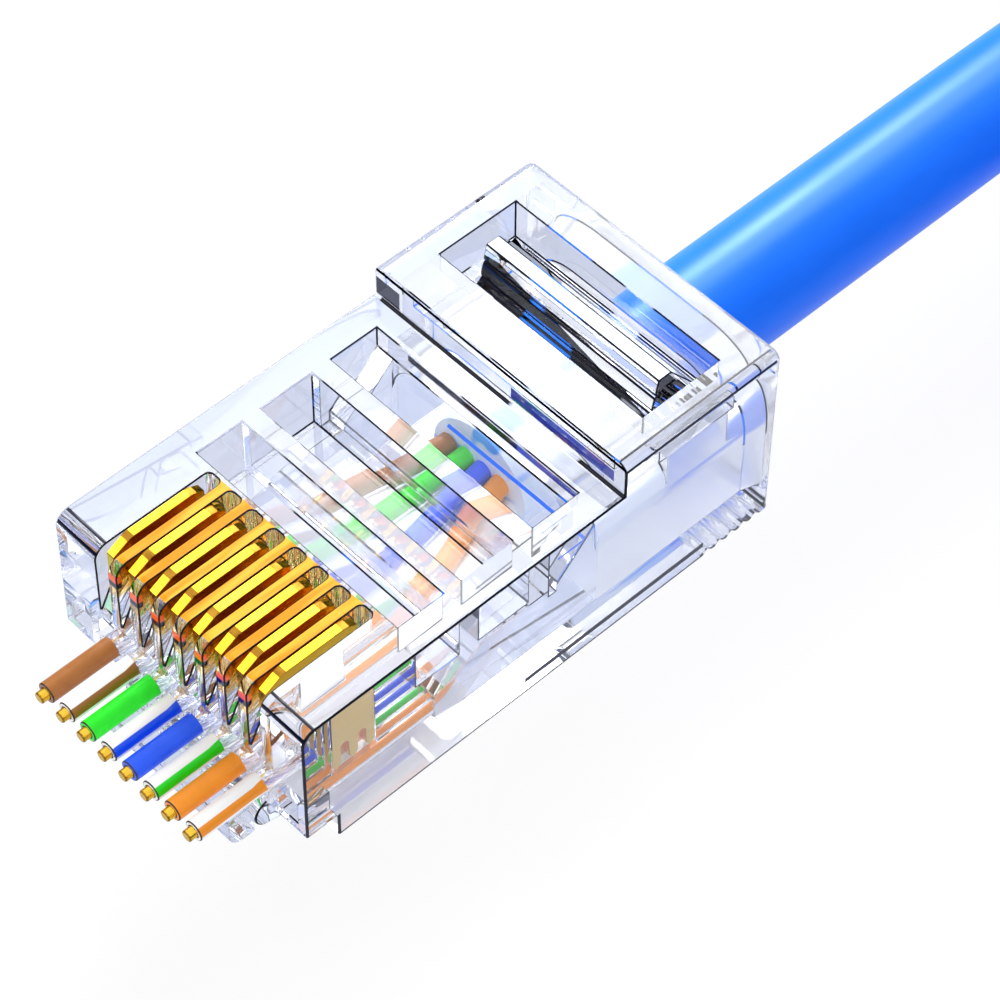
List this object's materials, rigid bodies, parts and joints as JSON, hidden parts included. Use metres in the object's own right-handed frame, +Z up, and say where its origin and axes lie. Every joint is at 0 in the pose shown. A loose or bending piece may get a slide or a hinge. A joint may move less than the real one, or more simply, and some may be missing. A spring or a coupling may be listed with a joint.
{
  "type": "rj45 modular plug",
  "caption": "Clear modular plug with gilt contacts and a sprung latch on a round blue cable, its coloured wires run through the nose before crimping.",
  "frame": {"origin": "on the surface that the plug stands on, under the middle of the plug and its projecting wires", "axes": "+X across the plug towards its first contact, +Y from the nose towards the cable, +Z up, contacts on top and latch below"},
  "size_m": [0.0521, 0.086, 0.0126],
  "materials": {
    "clear_plastic": "clear, polished",
    "gold_contact": "gold plated, polished",
    "copper": "cut copper",
    "jacket": "satin",
    "insulation_white_orange": "satin",
    "insulation_orange": "satin",
    "insulation_white_green": "satin",
    "insulation_blue": "satin",
    "insulation_white_blue": "satin",
    "insulation_green": "satin",
    "insulation_white_brown": "satin",
    "insulation_brown": "satin"
  },
  "bodies": {
    "plug": {"housing": "clear_plastic", "contact_1": "gold_contact", "wire_1_white_orange": "insulation_white_orange", "conductor_1": "copper", "contact_2": "gold_contact", "wire_2_orange": "insulation_orange", "conductor_2": "copper", "contact_3": "gold_contact", "wire_3_white_green": "insulation_white_green", "conductor_3": "copper", "contact_4": "gold_contact", "wire_4_blue": "insulation_blue", "conductor_4": "copper", "contact_5": "gold_contact", "wire_5_white_blue": "insulation_white_blue", "conductor_5": "copper", "contact_6": "gold_contact", "wire_6_green": "insulation_green", "conductor_6": "copper", "contact_7": "gold_contact", "wire_7_white_brown": "insulation_white_brown", "conductor_7": "copper", "contact_8": "gold_contact", "wire_8_brown": "insulation_brown", "conductor_8": "copper", "jacket_end": "jacket", "cable_run": "jacket", "cable_coil": "jacket"},
    "latch": {"latch": "clear_plastic"}
  },
  "joints": [
    {"name": "latch_press", "type": "hinge", "parent": "plug", "child": "latch", "pos_m": [0, -0.00795, 0.00343], "axis": [1, 0, 0], "range_deg": [0, 11], "stiffness_Nm_per_rad": 0.25}
  ]
}
